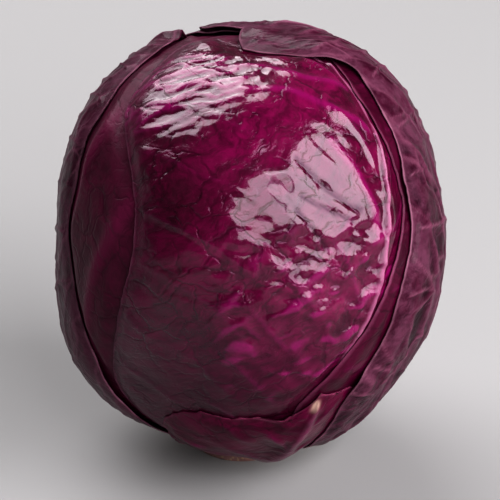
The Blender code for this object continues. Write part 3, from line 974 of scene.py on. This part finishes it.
def outer_form(lay, seed=41, furrowed=0.0):
    """A net of raised veins, most of them running up the head. furrowed: where, from 0 to 1, the blade
    is pleated between them."""
    ribs, spine, crest = rib_relief(lay, OUTER_RIBS, OUTER_MIDRIB, OUTER_SIDE)
    skin = lay.d * HEAD_HALF_WIDTH
    middle = compass(lay.leaf)[0]
    lon = np.degrees(np.arctan2(lay.d[:, :2] @ (-middle[1], middle[0]), lay.d[:, :2] @ middle[:2]))
    fan = np.arctan2(lay.x, lay.y - FAN_BASE_DEG) * abs(FAN_BASE_DEG)
    lat = np.degrees(np.arcsin(lay.d[:, 2]))
    waver = [grain(skin, 0.013, seed + k) + 0.4 * grain(skin, 0.006, seed + k) for k in (2, 3)]
    place = np.stack([0.5 * (lon + fan), lat], axis=1) + VEIN_WAVER_DEG * np.stack(waver, axis=1)
    off_long = off_walls(place, LONG_CELL_DEG, seed)
    off_web = off_walls(place, WEB_CELL_DEG, seed + 1)
    strength = smooth_step(0.75 + 0.8 * grain(skin, 0.020, seed + 4))
    long_vein = bump_at(off_long, LONG_VEIN_WIDTH_DEG) * (0.35 + 0.65 * strength)
    web = bump_at(off_web, WEB_WIDTH_DEG) * (1 - 0.5 * strength)
    raised = np.maximum(long_vein, (0.45 - 0.25 * furrowed) * web)
    hollow = smooth_step(0.45 + 1.3 * grain(stretched(lay, 80, 3.5), 0.0070, seed + 7))
    pleat = smooth_step((off_long - PLEAT_START_DEG) / PLEAT_FALL_DEG) * furrowed * (0.15 + 0.85 * hollow)
    buckles = swells(lay, OUTER_SWELLS, seed + 5) + OUTER_VEIN_HEIGHT * raised
    buckles = buckles + PLEAT_RAISE * furrowed - PLEAT_DEPTH * pleat
    values = {
        "spine": spine,
        "rib": np.maximum(crest, 0.6 * raised),
        "pale": bare_base(lay, 0.08, 0.07),
        # Painted shade in the hollows of the pleats.
        "shade": 0.85 * pleat,
    }
    return ribs, np.maximum(buckles, 0.0), values


paint = leaf_paint(
    "outer leaf", OUTER_COLOURS, bloom=0.60, rough=0.38, gloss=0.06, coat=0.12, net_mm=-0.14, streak_deg=80
)
for node, lift in (("leaf_left", 0.0004), ("leaf_back", 0.0003)):
    wrapper = make_leaf(node, columns=170, rows=180, ragged=0.6, lift=lift, form=outer_form, paint=paint)
    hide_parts(node)


# Leaf stub: what is left at the bottom front of a torn-off outer leaf. Waxy leaf with pale flesh
# showing where its midrib tore. Made as the front leaf is, its upper margin ragged.

STUB_COLOURS = dict(FRONT_COLOURS, rim=(0.150, 0.028, 0.065, 1), flesh=(0.420, 0.270, 0.220, 1))
STUB_RIBS = 4
STUB_MIDRIB = (0.0024, 0.0045, 0.0012, 0.0020)
STUB_SIDE = (0.0008, 0.12)
STUB_SWELLS = ((0.0007, 0.016), (0.0003, 0.007))
STUB_STREAK_HEIGHT = 0.0003
TORN_SPOT = (6.5, 29.5, 1.5, 3.2)


def stub_form(lay):
    """Soft buckles and streaks, with bare flesh at the torn spot by its tip."""
    ribs, spine, crest = rib_relief(lay, STUB_RIBS, STUB_MIDRIB, STUB_SIDE)
    tatter = 0.7 + grain(lay.d * HEAD_HALF_WIDTH, 0.0028, 53)
    streak = smooth_step(1.5 * grain(stretched(lay, 15, 4.0), 0.0040, 54) - 0.25)
    values = {
        "spine": 0.5 * spine,
        # Painted highlight: paler pink along the raised streaks.
        "rib": np.maximum(0.5 * crest, 0.6 * streak),
        "pale": 0.8 * smooth_step(1.8 * spot(lay, *TORN_SPOT) * tatter),
        "glow": 0.3,
    }
    return ribs, swells(lay, STUB_SWELLS, 51) + STUB_STREAK_HEIGHT * streak, values


paint = leaf_paint(
    "leaf stub", STUB_COLOURS, bloom=0.08, rough=0.30, gloss=0.08, coat=0.12, net_mm=0.12, streak_deg=10
)
stub = make_leaf("leaf_stub", columns=110, rows=90, ragged=0.9, lift=0.0001, form=stub_form, paint=paint)
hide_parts("leaf_stub")


# Right leaf: the dull outermost wrapper, with a thin light-pink margin down the front and a torn lower
# corner. Dusty leaf, its ribs and folds running up it. Made as the front leaf is, over all the others.

RIGHT_MIDDLE = 0.2
PLEATED_FROM_DEG = -12.0
PLEATED_FALL_DEG = 30.0
TORN_CORNER = ((-75, -42), (-66, -44), (-64, -40), (-60, -38), (-53, -27))
TORN_END_DEG = 12.0
LIP_HEIGHT = 0.0005
LIP_WIDTH_DEG = 1.0


def right_form(lay):
    """The outer leaves' form, pleated on the side towards the front, with a lip along the torn corner."""
    furrowed = smooth_step((PLEATED_FROM_DEG - lay.x) / PLEATED_FALL_DEG)
    ribs, buckles, values = outer_form(lay, 61, furrowed)
    line_x, line_y = zip(*TORN_CORNER)
    below = np.interp(lay.x, line_x, line_y) - lay.y
    reached = smooth_step((line_x[-1] + TORN_END_DEG - lay.x) / TORN_END_DEG)
    torn_off = smooth_step(below / 0.8) * reached
    lip = bump_at(below + 0.8, LIP_WIDTH_DEG) * reached
    buckles = buckles * (1 - 0.7 * torn_off) + LIP_HEIGHT * lip
    values["rib"] = np.maximum(values["rib"] * (1 - 0.6 * torn_off), 0.9 * lip)
    # Painted shadow: a dark line just below the torn lip.
    values["shade"] = np.maximum(values["shade"], bump_at(below - 1.0, LIP_WIDTH_DEG) * reached)
    return ribs, buckles, values


paint = leaf_paint(
    "outer right leaf",
    OUTER_COLOURS,
    bloom=0.75,
    rough=0.36,
    gloss=0.06,
    coat=0.14,
    net_mm=-0.14,
    streak_deg=80,
)
right_leaf = make_leaf(
    "leaf_right",
    columns=215,
    rows=215,
    ragged=0.4,
    lift=0.0004,
    form=right_form,
    paint=paint,
    middle=RIGHT_MIDDLE,
)
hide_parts("leaf_right")


# Floor, light and camera: a plain pale studio floor, three soft boxes and a pale surround. The camera
# looks down on the head as the photograph does.

VIEW_HEIGHT_DEG = 27.0
VIEW_DISTANCE = 1.55
VIEW_LENS = 300.0
VIEW_TARGET = (0.003, 0.0, 0.0800)
BOX_DISTANCE = 1.5
# Name, direction from the head, width and height in metres, and watts.
SOFT_BOXES = (
    ("right", (0.79, -0.35, 0.50), 1.15, 1.30, 45.0),
    ("front", (0.33, -0.80, 0.50), 0.70, 0.95, 15.0),
    ("left_rear", (-0.34, 0.58, 0.74), 1.40, 1.25, 32.0),
)
LIGHT_COLOUR = (1.0, 0.97, 0.985)
SURROUND_STRENGTH = 0.07
VIEW_GAMMA = 0.85
VIEW_EXPOSURE = 0.15
FLOOR_COLOUR = (0.30, 0.30, 0.30, 1)
FLOOR_HALF_SIDE = 3.0

bm = bmesh.new()
bmesh.ops.create_grid(bm, x_segments=1, y_segments=1, size=FLOOR_HALF_SIDE)
mesh = bpy.data.meshes.new("floor")
bm.to_mesh(mesh)
bm.free()
floor = bpy.data.objects.new("floor", mesh)
bpy.context.scene.collection.objects.link(floor)
p = Paint("floor", {"Base Color": FLOOR_COLOUR, "Roughness": 0.8})
mesh.materials.append(p.material)

for name, toward, width, height, power in SOFT_BOXES:
    light = bpy.data.lights.new(name, "AREA")
    light.shape = "RECTANGLE"
    light.size = width
    light.size_y = height
    light.energy = power
    light.color = LIGHT_COLOUR
    lamp = bpy.data.objects.new(name, light)
    way = np.array(toward) / np.linalg.norm(toward)
    lamp.location = way * BOX_DISTANCE + np.array([0, 0, HEAD_CENTRE_Z])
    back = Matrix.Identity(3)
    side = np.cross([0.0, 0.0, 1.0], way)
    side /= np.linalg.norm(side)
    back.col[0], back.col[1], back.col[2] = side, np.cross(way, side), way
    lamp.rotation_euler = back.to_euler()
    bpy.context.scene.collection.objects.link(lamp)

world = bpy.data.worlds.new("surround")
world.use_nodes = True
surround = world.node_tree.nodes["Background"]
surround.inputs["Color"].default_value = (1.0, 1.0, 1.0, 1)
surround.inputs["Strength"].default_value = SURROUND_STRENGTH
bpy.context.scene.world = world
view = bpy.context.scene.view_settings
view.view_transform = "Standard"
view.gamma = VIEW_GAMMA
view.exposure = VIEW_EXPOSURE

camera_data = bpy.data.cameras.new("camera")
camera_data.lens = VIEW_LENS
camera = bpy.data.objects.new("camera", camera_data)
tilt = math.radians(VIEW_HEIGHT_DEG)
camera.location = (
    VIEW_TARGET[0],
    VIEW_TARGET[1] - VIEW_DISTANCE * math.cos(tilt),
    VIEW_TARGET[2] + VIEW_DISTANCE * math.sin(tilt),
)
camera.rotation_euler = (math.pi / 2 - tilt, 0.0, 0.0)
bpy.context.scene.collection.objects.link(camera)
bpy.context.scene.camera = camera
